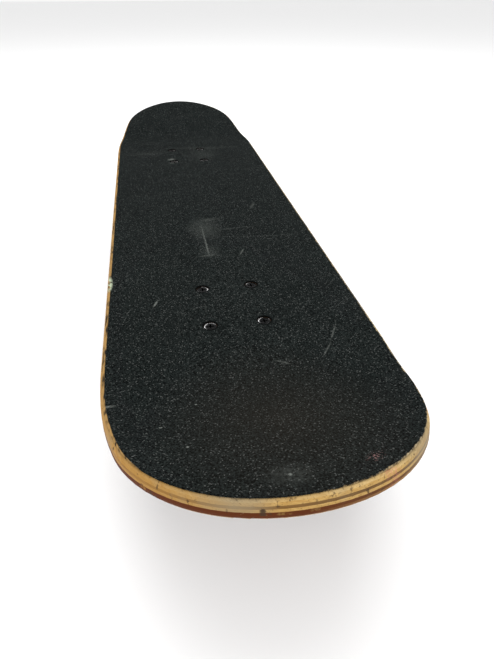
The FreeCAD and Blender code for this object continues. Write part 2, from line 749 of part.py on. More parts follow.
size.work_out("bearing_bore_radius", size.axle_diameter / 2 + size.running_gap)
size.work_out("ball_pitch_radius", (size.bearing_radius + size.bearing_bore_radius) / 2)
size.work_out("outer_race_radius", size.ball_pitch_radius + size.outer_race_step)
size.work_out("inner_race_radius", size.ball_pitch_radius - size.inner_race_step)
size.work_out("wheel_start", size.hanger_width / 2 + size.axle_washer_thickness)
size.work_out("bearing_span", size.bearing_spacer + size.bearing_width * 2)
size.work_out("wheel_middle", size.wheel_start + size.bearing_span / 2)
size.work_out("wheel_end", size.wheel_start + size.bearing_span)
size.work_out("nut_start", size.wheel_end + size.axle_washer_thickness)
size.work_out("half_axle", size.nut_start + size.axle_nut_height + size.axle_tail)


def across_axle(end, side, outward):
    """Where a piece turned about Z stands on an axle, its Z pointing outward."""
    return dict(x=truck_centre[end], y=outward * sides[side], z=size.wheel_radius, axis=(-sides[side], 0, 0),
                angle=90)


def make_axle(end):
    shaft = size.axle_diameter / 2
    half = size.half_axle
    axle = turned(f"{end}_axle", [(0, -half), (shaft - 0.8, -half), (shaft, 0.8 - half), (shaft, half - 0.8),
                                  (shaft - 0.8, half), (0, half)])
    node(place(axle, **across_axle(end, "left", 0)))
    nut = padded(f"{end}_wheel_nut", "XY_Plane", size.axle_nut_height, hexagon(size.axle_nut_flats),
                 shaft + size.running_gap)
    node(copies(f"{end}_axle_nuts", nut, [
        across_axle(end, side, size.nut_start) for side in sides]))
    washer = padded(f"{end}_washer", "XY_Plane", size.axle_washer_thickness, size.inner_race_radius - size.seat_gap,
                    shaft + size.running_gap)
    node(copies(f"{end}_axle_washers", washer, [
        across_axle(end, side, start) for side in sides for start in (size.hanger_width / 2, size.wheel_end)]))


def bearing_middles():
    shift = (size.bearing_spacer + size.bearing_width) / 2
    return [size.wheel_middle - shift, size.wheel_middle + shift]


def groove(radius, groove_radius, side):
    """Where a ball groove's arc meets a race of this radius."""
    drop = radius - size.ball_pitch_radius
    return root(groove_radius * groove_radius - drop * drop) * side


def make_bearing_rings(end, side):
    track = size.ball_radius + size.race_gap
    half = size.bearing_width / 2
    race = size.outer_race_radius
    seat = size.ball_pitch_radius + track + 0.05
    lip = half - size.shield_depth - size.shield_thickness
    outer = turned(f"{end}_{side}_outer", [
        (size.bearing_radius, -half), (size.bearing_radius, half), (seat, half), (seat, lip), (race, lip),
        (race, groove(race, track, 1), track * -1),
        (race, groove(race, track, -1)), (race, -lip), (seat, -lip), (seat, -half)])
    middles = bearing_middles()
    node(copies(f"{end}_{side}_bearing_outer_rings", outer, [across_axle(end, side, at) for at in middles]))
    shield = padded(f"{end}_{side}_shield", "XY_Plane", size.shield_thickness, seat, size.inner_race_radius + 0.35)
    offset = half - size.shield_depth - size.shield_thickness
    places = [across_axle(end, side, at + shift) for at in middles for shift in (offset, -offset - size.shield_thickness)]
    node(copies(f"{end}_{side}_bearing_shields", shield, places))
    return track, half


def make_inner_rings(end):
    track = size.ball_radius + size.race_gap
    half = size.bearing_width / 2
    race = size.inner_race_radius
    inner = turned(f"{end}_inner", [
        (size.bearing_bore_radius, -half), (race, -half), (race, groove(race, track, -1), track * -1),
        (race, groove(race, track, 1)), (race, half), (size.bearing_bore_radius, half)])
    node(copies(f"{end}_bearing_inner_rings", inner, [
        across_axle(end, side, at) for side in sides for at in bearing_middles()]))


def make_ball_set(end, side):
    ball = document.addObject("Part::Sphere", f"{end}_{side}_ball")
    ball.setExpression("Radius", size.ball_radius.text)
    step = 360 / balls_per_bearing
    turns = [step * number for number in range(balls_per_bearing)]
    around = [(size.ball_pitch_radius * cosine(turn), size.ball_pitch_radius * sine(turn)) for turn in turns]
    node(copies(f"{end}_{side}_bearing_balls", ball, [
        dict(x=truck_centre[end] + x, y=at * sides[side], z=size.wheel_radius + z)
        for at in bearing_middles() for x, z in around]))
    inside = size.ball_pitch_radius - size.cage_thickness / 2
    outside = size.ball_pitch_radius + size.cage_thickness / 2
    back = -size.ball_radius - 0.3
    front = size.ball_radius * 0.6
    hoop = turned(f"{end}_{side}_hoop", [(inside, back), (outside, back), (outside, front), (inside, front)])
    room = document.addObject("Part::Sphere", f"{end}_{side}_ball_room")
    room.setExpression("Radius", (size.ball_radius + size.race_gap * 1.5).text)
    rooms = copies(f"{end}_{side}_ball_rooms", room, [dict(x=x, y=-z) for x, z in around])
    cage = cut(f"{end}_{side}_cage", hoop, [rooms])
    node(copies(f"{end}_{side}_bearing_cages", cage, [across_axle(end, side, at) for at in bearing_middles()]))


def make_wheel(end, side):
    half = size.wheel_width / 2
    tread = size.tread_width / 2
    bore = size.bearing_radius
    step = size.bearing_spacer / 2
    floor = step + size.bearing_width
    edge = half - tread
    shoulder = size.wheel_radius - edge
    wheel = turned(f"{end}_{side}_wheel", [
        (bore - size.wheel_core_step, -step), (bore, -step), (bore, -floor), (size.wheel_dish_radius, -floor),
        (size.wheel_lip_radius, -half), (shoulder, -half, edge), (size.wheel_radius, -tread),
        (size.wheel_radius, tread, edge), (shoulder, half), (size.wheel_lip_radius, half),
        (size.wheel_dish_radius, floor), (bore, floor), (bore, step), (bore - size.wheel_core_step, step)])
    node(place(wheel, **across_axle(end, side, size.wheel_middle)))


# ---- the whole board ----

def make_board():
    make_deck()
    for end in ends:
        make_deck_bolts(end)
        make_baseplate(end)
        make_pivot_cup(end)
        make_kingpin_set(end)
        make_hanger(end)
        make_axle(end)
        make_inner_rings(end)
        for side in sides:
            make_wheel(end, side)
            make_bearing_rings(end, side)
            make_ball_set(end, side)


def write_parts():
    document.recompute()
    for thing in document.Objects:
        if "Invalid" in thing.State or "Error" in thing.State:
            raise RuntimeError(f"{thing.Label} failed: {thing.State}")
    for piece in nodes:
        if piece.Shape.isNull() or not piece.Shape.isValid():
            raise RuntimeError(f"{piece.Label} has no valid shape")
    os.makedirs("parts", exist_ok=True)
    for piece in nodes:
        piece.Shape.exportStep(f"parts/{piece.Label}.step")
        print(piece.Label, len(piece.Shape.Solids), round(piece.Shape.Volume, 1))
    print(len(nodes), "nodes")


make_board()
write_parts()
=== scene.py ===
import json
import math
import bpy
from mathutils import Matrix, Vector


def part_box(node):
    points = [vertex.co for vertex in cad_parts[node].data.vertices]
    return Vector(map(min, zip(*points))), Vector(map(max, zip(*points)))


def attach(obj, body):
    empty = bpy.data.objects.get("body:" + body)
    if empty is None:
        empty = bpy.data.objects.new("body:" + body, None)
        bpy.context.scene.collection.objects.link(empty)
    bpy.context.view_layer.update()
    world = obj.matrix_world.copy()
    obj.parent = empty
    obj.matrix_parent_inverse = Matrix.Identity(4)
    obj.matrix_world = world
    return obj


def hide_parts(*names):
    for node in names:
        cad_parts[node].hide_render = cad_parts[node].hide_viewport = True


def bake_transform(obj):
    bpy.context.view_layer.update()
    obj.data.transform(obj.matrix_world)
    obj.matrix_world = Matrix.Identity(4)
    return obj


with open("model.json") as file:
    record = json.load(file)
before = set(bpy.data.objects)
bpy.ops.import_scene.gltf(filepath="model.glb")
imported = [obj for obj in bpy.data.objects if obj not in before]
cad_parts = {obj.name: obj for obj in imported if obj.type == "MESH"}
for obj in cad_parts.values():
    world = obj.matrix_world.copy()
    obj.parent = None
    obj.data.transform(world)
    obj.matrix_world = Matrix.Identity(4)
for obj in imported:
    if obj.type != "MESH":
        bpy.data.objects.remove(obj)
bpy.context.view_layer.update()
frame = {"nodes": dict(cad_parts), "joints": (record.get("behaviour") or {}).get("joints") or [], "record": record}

ends = {"front": 1, "rear": -1}
sides = {"left": 1, "right": -1}
joints = {joint["name"]: joint for joint in frame["joints"]}
truckX = {end: joints[end + "_left_wheel_spin"]["pos_m"][0] for end in ends}
axleZ = joints["front_left_wheel_spin"]["pos_m"][2]
steerAt = {end: Vector(joints[end + "_steer"]["pos_m"]) for end in ends}
gripTop = frame["record"]["mounts"][0]["pos_m"][2]
mm = 0.001

cameraSettings = {
    "beyondNoseTruck": 0.3334, "rightOfMiddle": 0.0496, "aboveGrip": 0.2161,
    "heading": 79.49, "tilt": 54.37, "lens": 27.36, "sensor": 36,
}
lightSettings = {
    "world": 0.92, "floorColour": (0.90, 0.90, 0.90, 1),
    "overhead": {"place": (-0.5, 0.1, 1.9), "size": 1.8, "power": 26},
    "window": {"place": (0.9, -1.5, 1.1), "size": 1.2, "power": 12},
    "fill": {"place": (1.4, 1.3, 0.9), "size": 1.4, "power": 10},
}


def addCamera():
    settings = cameraSettings
    along = truckX["front"] + settings["beyondNoseTruck"]
    place = (along, -settings["rightOfMiddle"], gripTop + settings["aboveGrip"])
    turn = (math.radians(settings["tilt"]), 0, math.radians(settings["heading"]))
    bpy.ops.object.camera_add(location=place, rotation=turn)
    camera = bpy.context.object
    camera.data.sensor_fit = "VERTICAL"
    camera.data.sensor_height = settings["sensor"]
    camera.data.lens = settings["lens"]
    camera.data.clip_start = 0.01
    bpy.context.scene.camera = camera


def addLights():
    bpy.context.scene.view_settings.view_transform = "Standard"
    world = bpy.data.worlds.new("softRoom")
    bpy.context.scene.world = world
    world.use_nodes = True
    world.node_tree.nodes["Background"].inputs["Color"].default_value = (1, 1, 1, 1)
    world.node_tree.nodes["Background"].inputs["Strength"].default_value = lightSettings["world"]
    for name in ("overhead", "window", "fill"):
        lamp = lightSettings[name]
        bpy.ops.object.light_add(type="AREA", location=lamp["place"])
        light = bpy.context.object
        light.name = name
        light.data.size = lamp["size"]
        light.data.energy = lamp["power"]
        light.rotation_euler = (-Vector(lamp["place"])).to_track_quat("-Z", "Y").to_euler()


def addFloor():
    bpy.ops.mesh.primitive_plane_add(size=14, location=(0, 0, 0))
    floor = bpy.context.object
    floor.name = "floor"
    material = bpy.data.materials.new("paleFloor")
    material.use_nodes = True
    shader = material.node_tree.nodes["Principled BSDF"]
    shader.inputs["Base Color"].default_value = lightSettings["floorColour"]
    shader.inputs["Roughness"].default_value = 0.9
    floor.data.materials.append(material)


def addNode(tree, kind, inputs=None, **settings):
    node = tree.nodes.new(kind)
    for name, value in settings.items():
        setattr(node, name, value)
    for name, value in (inputs or {}).items():
        socket = node.inputs[name]
        if isinstance(value, bpy.types.NodeSocket):
            tree.links.new(value, socket)
        else:
            socket.default_value = value
    return node


def startMaterial(name, roughness=0.5, metallic=0.0):
    material = bpy.data.materials.new(name)
    material.use_nodes = True
    tree = material.node_tree
    shader = tree.nodes["Principled BSDF"]
    shader.inputs["Roughness"].default_value = roughness
    shader.inputs["Metallic"].default_value = metallic
    place = addNode(tree, "ShaderNodeTexCoord").outputs["Object"]
    return material, tree, shader, place


def calc(tree, work, first, second=0.0, clamp=False):
    return addNode(tree, "ShaderNodeMath", {0: first, 1: second}, operation=work, use_clamp=clamp).outputs[0]


def spanOf(tree, first, second):  # the distance that two offsets at right angles make
    squares = [calc(tree, "MULTIPLY", offset, offset) for offset in (first, second)]
    return calc(tree, "SQRT", calc(tree, "ADD", *squares))


def noise(tree, place, scale, detail=3.0, roughness=0.55, distortion=0.0):
    node = addNode(tree, "ShaderNodeTexNoise", {"Vector": place, "Scale": scale, "Detail": detail,
                                                "Roughness": roughness, "Distortion": distortion})
    return node.outputs["Fac"]


def cells(tree, place, scale):  # a random colour for each grain
    return addNode(tree, "ShaderNodeTexVoronoi", {"Vector": place, "Scale": scale}).outputs["Color"]


def stretch(tree, place, scale, location=(0, 0, 0), turn=0.0):
    return addNode(tree, "ShaderNodeMapping", {"Vector": place, "Location": location, "Scale": scale,
                                               "Rotation": (0, 0, math.radians(turn))}).outputs["Vector"]


def ease(tree, value, low, high):  # 0 at low, 1 at high and a straight line between them
    span = {"Value": value, "From Min": low, "From Max": high}
    return addNode(tree, "ShaderNodeMapRange", span, clamp=True).outputs["Result"]


def blendColour(tree, factor, first, second):
    first = (*first, 1) if isinstance(first, tuple) and len(first) == 3 else first
    second = (*second, 1) if isinstance(second, tuple) and len(second) == 3 else second
    node = addNode(tree, "ShaderNodeMix", {0: factor, 6: first, 7: second}, data_type="RGBA")
    return node.outputs[2]


def parts(tree, place):
    node = addNode(tree, "ShaderNodeSeparateXYZ", {0: place})
    return node.outputs["X"], node.outputs["Y"], node.outputs["Z"]


def bump(tree, shader, height, depth, strength=1.0):
    node = addNode(tree, "ShaderNodeBump", {"Height": height, "Distance": depth, "Strength": strength})
    tree.links.new(node.outputs[0], shader.inputs["Normal"])


def give(tree, shader, **values):
    names = {"colour": "Base Color", "roughness": "Roughness"}
    for name, value in values.items():
        tree.links.new(value, shader.inputs[names[name]])


def mark(tree, place, centre, size, turn=0.0, soft=0.35):  # an oval patch, 1 inside and 0 outside
    x, y = parts(tree, place)[:2]
    flat = addNode(tree, "ShaderNodeCombineXYZ", {"X": x, "Y": y}).outputs[0]
    moved = addNode(tree, "ShaderNodeVectorMath", {0: flat, 1: (*centre, 0)}, operation="SUBTRACT").outputs[0]
    turning = {"Vector": moved, "Angle": math.radians(-turn)}
    turned = addNode(tree, "ShaderNodeVectorRotate", turning, rotation_type="Z_AXIS").outputs[0]
    shares = (1 / size[0], 1 / size[1], 0)
    scaled = addNode(tree, "ShaderNodeVectorMath", {0: turned, 1: shares}, operation="MULTIPLY")
    far = addNode(tree, "ShaderNodeVectorMath", {0: scaled.outputs[0]}, operation="LENGTH").outputs["Value"]
    return ease(tree, far, 1 + soft, 1 - soft)


def heaviest(tree, patches):
    result = patches[0]
    for patch in patches[1:]:
        result = calc(tree, "MAXIMUM", result, patch)
    return result


deckShape = {  # the deck's outline, which the worn rim follows
    "halfWidth": 98.4 * mm, "kickAngle": math.radians(20),
    "front": {"corner": 100.3 * mm, "kick": 119.5 * mm, "taper": 148.8 * mm, "tipDrop": 9 * mm},
    "rear": {"corner": 91.1 * mm, "kick": 105.3 * mm, "taper": 166.3 * mm, "tipDrop": 11 * mm},
}


def rimOfEnd(tree, x, across, end):
    shape = deckShape[end]
    half = deckShape["halfWidth"]
    tipRadius = half - shape["tipDrop"]
    lead = shape["taper"] - tipRadius
    sideRadius = (lead ** 2 + half ** 2 - tipRadius ** 2) / (2 * shape["tipDrop"])
    corner = truckX[end] * ends[end] + shape["corner"]
    outward = calc(tree, "MULTIPLY", x, ends[end])
    along = calc(tree, "DIVIDE", calc(tree, "SUBTRACT", outward, corner), math.cos(deckShape["kickAngle"]))
    past = calc(tree, "MAXIMUM", calc(tree, "SUBTRACT", along, shape["kick"] - shape["taper"]), 0.0)
    wide = calc(tree, "ADD", across, sideRadius - half)
    toSide = calc(tree, "SUBTRACT", sideRadius, spanOf(tree, past, wide))
    fromTip = calc(tree, "SUBTRACT", along, shape["kick"] - tipRadius)
    toTip = calc(tree, "SUBTRACT", tipRadius, spanOf(tree, fromTip, across))
    inTip = calc(tree, "LESS_THAN", calc(tree, "MULTIPLY", across, lead),
                 calc(tree, "MULTIPLY", fromTip, sideRadius - half))
    return calc(tree, "ADD", toSide, calc(tree, "MULTIPLY", inTip, calc(tree, "SUBTRACT", toTip, toSide)))


def rimDistance(tree, place):
    x, y = parts(tree, place)[:2]
    across = calc(tree, "ABSOLUTE", y)
    return calc(tree, "MINIMUM", rimOfEnd(tree, x, across, "front"), rimOfEnd(tree, x, across, "rear"))


boltPattern = {"spread": 26.99 * mm, "across": 20.64 * mm}  # half the spacing each way


def boltPlaces(end):
    return [(truckX[end] + boltPattern["spread"] * along, boltPattern["across"] * side)
            for along, side in ((1, 1), (1, -1), (-1, 1), (-1, -1))]


def boltDistance(tree, place):
    x, y = parts(tree, place)[:2]
    offsets = []
    for end in ends:
        fromTruck = calc(tree, "ABSOLUTE", calc(tree, "SUBTRACT", x, truckX[end]))
        along = calc(tree, "SUBTRACT", fromTruck, boltPattern["spread"])
        across = calc(tree, "SUBTRACT", calc(tree, "ABSOLUTE", y), boltPattern["across"])
        offsets.append(spanOf(tree, along, across))
    return calc(tree, "MINIMUM", *offsets)


gripLook = {
    "gloss": 0.02, "roughness": 0.92, "depth": 0.35 * mm,
    "coarseGrain": 980, "fineGrain": 2600, "clouds": 26, "glintGrain": 1500, "glintFrom": 0.94,
    "hairs": 0.10, "browning": 0.3, "boltShade": (6.6 * mm, 5.8 * mm),
    "rim": {"bare": 0.3 * mm, "left": 2.4 * mm, "ragged": 5.2 * mm, "raggedLeft": 0.14, "raggedRight": 0.5},
    "dark": (0.0015, 0.0020, 0.0020), "light": (0.0170, 0.0212, 0.0202), "glint": (0.10, 0.105, 0.10),
    "dust": (0.13, 0.14, 0.128), "brown": (0.024, 0.018, 0.013),
    "bareLeft": (0.30, 0.18, 0.065), "bareRight": (0.34, 0.27, 0.16), "flake": (0.36, 0.41, 0.29),
    "shade": (0.0016, 0.0018, 0.0018),
    "ramps": {  # where each noise starts and ends to show
        "coarse": (0.38, 0.66), "fine": (0.40, 0.62), "hair": (0.69, 0.76), "broken": (0.36, 0.62),
        "rosy": (0.52, 0.64), "streak": (0.48, 0.66), "flake": (0.40, 0.52),
    },
    "pink": (0.20, 0.115, 0.11), "pinks": [((0.383, 0.037), (0.002, 0.004), 30)],
    "flakes": [((0.150, -0.0968), (0.011, 0.0028), 0)],
    "brownPatch": ((0.335, 0.004), (0.05, 0.04), 0),
    "scuffs": [  # centre, half size, turn, softness, strength
        ((0.044, -0.0056), (0.018, 0.0110), 4, 0.8, 0.17),
        ((0.0615, -0.0077), (0.030, 0.0008), 0.5, 0.4, 0.42),
        ((0.088, -0.0076), (0.014, 0.0008), 0.5, 0.5, 0.60),
        ((0.104, -0.0084), (0.0016, 0.0070), 4, 0.6, 0.32),
        ((0.095, -0.0060), (0.010, 0.0070), 0, 0.8, 0.12),
        ((0.022, 0.0003), (0.0030, 0.0090), 8, 0.8, 0.22),
        ((-0.0072, 0.0548), (0.006, 0.0015), -25, 0.7, 0.24),
        ((0.300, -0.0905), (0.0012, 0.0030), 20, 0.5, 0.7),
        ((0.048, 0.0200), (0.0012, 0.0260), 3, 0.7, 0.10),
        ((0.0722, 0.0470), (0.0008, 0.0300), -10, 0.5, 0.12),
        ((0.1023, 0.0235), (0.0055, 0.0008), -25, 0.4, 0.50),
        ((0.1803, -0.0596), (0.0046, 0.0008), -22, 0.4, 0.75),
        ((0.2690, 0.0225), (0.0006, 0.0050), -30, 0.4, 0.40),
        ((0.2436, 0.0665), (0.0100, 0.0006), -28, 0.4, 0.34),
        ((0.2610, 0.0565), (0.0080, 0.0006), -36, 0.4, 0.34),
        ((0.3290, -0.0610), (0.0007, 0.0009), 0, 0.3, 1.0),
        ((0.3520, -0.0480), (0.0008, 0.0007), 0, 0.3, 1.0),
        ((0.3870, -0.0049), (0.0009, 0.0010), 0, 0.3, 1.0),
        ((0.3870, -0.0049), (0.0060, 0.0080), 0, 0.8, 0.14),
        ((0.3048, -0.0400), (0.0006, 0.0008), 0, 0.3, 0.8),
        ((-0.1960, -0.0245), (0.0030, 0.0040), 20, 0.7, 0.75),
        ((-0.1790, -0.0250), (0.0025, 0.0030), 20, 0.7, 0.30),
        ((-0.2260, -0.0560), (0.0060, 0.0200), 14, 0.9, 0.09),
        ((-0.2440, 0.0250), (0.0045, 0.0330), -8, 0.9, 0.10),
        ((-0.2130, 0.0210), (0.0220, 0.0140), 0, 0.9, 0.07),
    ],
}


def makeGrip():
    look, ramps = gripLook, gripLook["ramps"]
    material, tree, shader, place = startMaterial("gripGrit", roughness=look["roughness"])
    shader.inputs["Specular IOR Level"].default_value = look["gloss"]
    y = parts(tree, place)[1]
    coarse = noise(tree, place, look["coarseGrain"], detail=2)
    fine = noise(tree, place, look["fineGrain"], detail=2)
    cloud = noise(tree, place, look["clouds"], detail=4)
    picked = addNode(tree, "ShaderNodeSeparateColor", {0: cells(tree, place, look["glintGrain"])}).outputs[0]
    cloudy = calc(tree, "ADD", 0.62, calc(tree, "MULTIPLY", cloud, 0.6))
    tone = calc(tree, "MULTIPLY", ease(tree, coarse, *ramps["coarse"]), cloudy, clamp=True)
    colour = blendColour(tree, tone, look["dark"], look["light"])
    chosen = calc(tree, "GREATER_THAN", picked, look["glintFrom"])
    glints = calc(tree, "MULTIPLY", chosen, ease(tree, fine, *ramps["fine"]))
    colour = blendColour(tree, glints, colour, look["glint"])
    browned = calc(tree, "MULTIPLY", mark(tree, place, *look["brownPatch"], soft=0.9), look["browning"])
    colour = blendColour(tree, browned, colour, look["brown"])
    hair = noise(tree, stretch(tree, place, (26, 620, 26), turn=24), 1.0, detail=2)
    hairBack = noise(tree, stretch(tree, place, (30, 540, 30), location=(3, 1, 2), turn=-38), 1.0, detail=2)
    crossed = ease(tree, calc(tree, "MAXIMUM", hair, hairBack), *ramps["hair"])
    hairs = calc(tree, "MULTIPLY", crossed, look["hairs"])
    scuffs = heaviest(tree, [calc(tree, "MULTIPLY", mark(tree, place, centre, size, turn, soft), strength)
                             for centre, size, turn, soft, strength in look["scuffs"]] + [hairs])
    broken = calc(tree, "ADD", 0.25, ease(tree, noise(tree, place, 520, detail=3), *ramps["broken"]))
    colour = blendColour(tree, calc(tree, "MULTIPLY", scuffs, broken, clamp=True), colour, look["dust"])
    rosy = heaviest(tree, [mark(tree, place, *patch, soft=0.8) for patch in look["pinks"]])
    rosy = calc(tree, "MULTIPLY", rosy, ease(tree, noise(tree, place, 780, detail=2), *ramps["rosy"]))
    colour = blendColour(tree, rosy, colour, look["pink"])
    shaded = ease(tree, boltDistance(tree, place), *look["boltShade"])  # the dark ring round each bolt
    colour = blendColour(tree, shaded, colour, look["shade"])
    rim = look["rim"]  # how wide the bare wood shows
    ragged = calc(tree, "MULTIPLY", noise(tree, place, 240, detail=5, roughness=0.75), rim["ragged"])
    right = ease(tree, y, -0.03, 0.06)
    left = ease(tree, y, -0.060, -0.088)
    smooth = calc(tree, "ADD", rim["bare"], calc(tree, "MULTIPLY", left, rim["left"]))
    torn = calc(tree, "ADD", rim["raggedLeft"], calc(tree, "MULTIPLY", right, rim["raggedRight"]))
    reach = calc(tree, "ADD", smooth, calc(tree, "MULTIPLY", ragged, torn))
    bare = ease(tree, calc(tree, "SUBTRACT", rimDistance(tree, place), reach), 0.3 * mm, -0.1 * mm)
    streaks = noise(tree, stretch(tree, place, (90, 700, 90)), 1.0, detail=4)
    bareTone = blendColour(tree, right, look["bareLeft"], look["bareRight"])
    bareTone = blendColour(tree, ease(tree, streaks, *ramps["streak"]), bareTone, look["brown"])
    colour = blendColour(tree, bare, colour, bareTone)
    flakes = heaviest(tree, [mark(tree, place, *patch, soft=0.3) for patch in look["flakes"]])
    flakes = calc(tree, "MULTIPLY", flakes, ease(tree, noise(tree, place, 330, detail=3), *ramps["flake"]))
    colour = blendColour(tree, flakes, colour, look["flake"])
    give(tree, shader, colour=colour)
    bump(tree, shader, calc(tree, "ADD", coarse, calc(tree, "MULTIPLY", fine, 0.6)), look["depth"], 0.8)
    return material


woodLook = {
    "top": {"pale": (0.54, 0.385, 0.17), "deep": (0.37, 0.235, 0.085)},
    "long": {"pale": (0.50, 0.325, 0.115), "deep": (0.34, 0.195, 0.055)},
    "cross": {"pale": (0.19, 0.105, 0.036), "deep": (0.08, 0.040, 0.013)},
    "low": {"pale": (0.46, 0.285, 0.10), "deep": (0.31, 0.17, 0.05)},
    # the dark brown below serves real dirt in pores and nicks, and also the painted shade round the bolt holes
    "orange": (0.30, 0.150, 0.030), "grey": (0.25, 0.205, 0.13), "dirtAndShade": (0.045, 0.026, 0.014),
    "gloss": 0.08, "roughness": 0.6, "depth": 0.22 * mm,
    "grain": {"along": (14, 190, 900), "across": (190, 14, 900)},
    "ramps": {
        "grain": (0.3, 0.7), "pore": (0.58, 0.70), "blotch": (0.5, 0.72), "nick": (0.62, 0.68),
        "rosy": (0.42, 0.62),
    },
    "pores": 0.6, "nicks": 0.75, "rosy": 0.4, "warmth": 0.75, "blotches": 0.4, "wear": 0.6,
    # first entry: where the painted shade round each bolt hole on the top layer begins and ends
    "grimeAndShade": (8.5 * mm, 6.5 * mm), "nicked": ("ply_4", "ply_5"),
    "stain": (0.085, 0.020, 0.004), "soak": {"ply_5": (0.31, 0.41), "ply_6": (0.22, 0.32)},
    "worn": [((0.376, 0.071), (0.012, 0.03), 0), ((0.39, -0.03), (0.02, 0.012), 0)],
    "notch": ((0.404, -0.0205), (0.02, 0.0012), 0),
    "pinks": [((0.300, -0.0885), (0.005, 0.004), 0), ((0.346, 0.0835), (0.006, 0.004), 0),
              ((0.392, 0.0395), (0.004, 0.005), 0)],
    "pink": (0.50, 0.17, 0.15),
}


def makeVeneer(node, kind):
    look, ramps = woodLook, woodLook["ramps"]
    tones = look[kind]
    name = node.replace("_", "") + "Veneer"
    material, tree, shader, place = startMaterial(name, roughness=look["roughness"])
    shader.inputs["Specular IOR Level"].default_value = look["gloss"]
    y = parts(tree, place)[1]
    grainWay = look["grain"]["across" if kind == "cross" else "along"]
    grain = noise(tree, stretch(tree, place, grainWay), 1.0, detail=5, roughness=0.65, distortion=0.4)
    pores = noise(tree, stretch(tree, place, (grainWay[0] * 4, grainWay[1] * 6, 2500)), 1.0, detail=2)
    colour = blendColour(tree, ease(tree, grain, *ramps["grain"]), tones["deep"], tones["pale"])
    pores = calc(tree, "MULTIPLY", ease(tree, pores, *ramps["pore"]), look["pores"])
    colour = blendColour(tree, pores, colour, look["dirtAndShade"])
    leftWarm = calc(tree, "MULTIPLY", ease(tree, y, 0.01, -0.07), look["warmth"])
    colour = blendColour(tree, leftWarm, colour, look["orange"])
    blotch = ease(tree, noise(tree, place, 60, detail=4), *ramps["blotch"])
    colour = blendColour(tree, calc(tree, "MULTIPLY", blotch, look["blotches"]), colour, look["grey"])
    worn = heaviest(tree, [mark(tree, place, *patch, soft=0.6) for patch in look["worn"]])
    colour = blendColour(tree, calc(tree, "MULTIPLY", worn, look["wear"]), colour, look["grey"])
    if node in look["soak"]:  # the stain under the deck runs up over the lowest layers
        clear = calc(tree, "MULTIPLY", ease(tree, y, 0.0, 0.06), 0.7)
        patches = ease(tree, noise(tree, place, 120, detail=5, roughness=0.7), *look["soak"][node])
        soaked = calc(tree, "MULTIPLY", patches, calc(tree, "SUBTRACT", 1.0, clear))
        colour = blendColour(tree, soaked, colour, look["stain"])
    if kind == "top":
        # painted shade: the top layer darkens in the countersunk hole round each bolt
        boltHoleShade = ease(tree, boltDistance(tree, place), *look["grimeAndShade"])
        colour = blendColour(tree, boltHoleShade, colour, look["dirtAndShade"])
    if node in look["nicked"]:
        nick = calc(tree, "MULTIPLY", mark(tree, place, *look["notch"], soft=0.3), 0.85)
        colour = blendColour(tree, nick, colour, look["dirtAndShade"])
    nicks = ease(tree, noise(tree, place, 250, detail=4), *ramps["nick"])
    nicks = calc(tree, "MULTIPLY", nicks, look["nicks"])
    colour = blendColour(tree, nicks, colour, look["dirtAndShade"])
    pinks = heaviest(tree, [mark(tree, place, *patch, soft=0.5) for patch in look["pinks"]])
    pinks = calc(tree, "MULTIPLY", pinks, ease(tree, noise(tree, place, 500), *ramps["rosy"]))
    colour = blendColour(tree, calc(tree, "MULTIPLY", pinks, look["rosy"]), colour, look["pink"])
    give(tree, shader, colour=colour)
    fuzz = calc(tree, "MULTIPLY", noise(tree, place, 900, detail=3), 0.5)
    bump(tree, shader, calc(tree, "ADD", grain, fuzz), look["depth"], 0.8)
    return material


baseLook = {
    "gloss": 0.12, "roughness": 0.42, "depth": 0.16 * mm, "scraping": 0.75, "hairs": 0.35,
    "ramps": {"grain": (0.28, 0.72), "stroke": (0.50, 0.62), "hair": (0.66, 0.72), "tip": (0.30, 0.37)},
    "chewed": 4.6 * mm, "chipEdge": (-1.2 * mm, -2.8 * mm), "chipping": 0.85,
    "stain": (0.095, 0.024, 0.008), "deep": (0.034, 0.009, 0.004), "bare": (0.42, 0.27, 0.13),
    "dust": (0.20, 0.15, 0.11), "slides": [((-0.01, 0.0), (0.13, 0.045), 3), ((0.37, 0.0), (0.03, 0.05), 0),
                                         ((-0.37, 0.01), (0.028, 0.05), 0)],
}


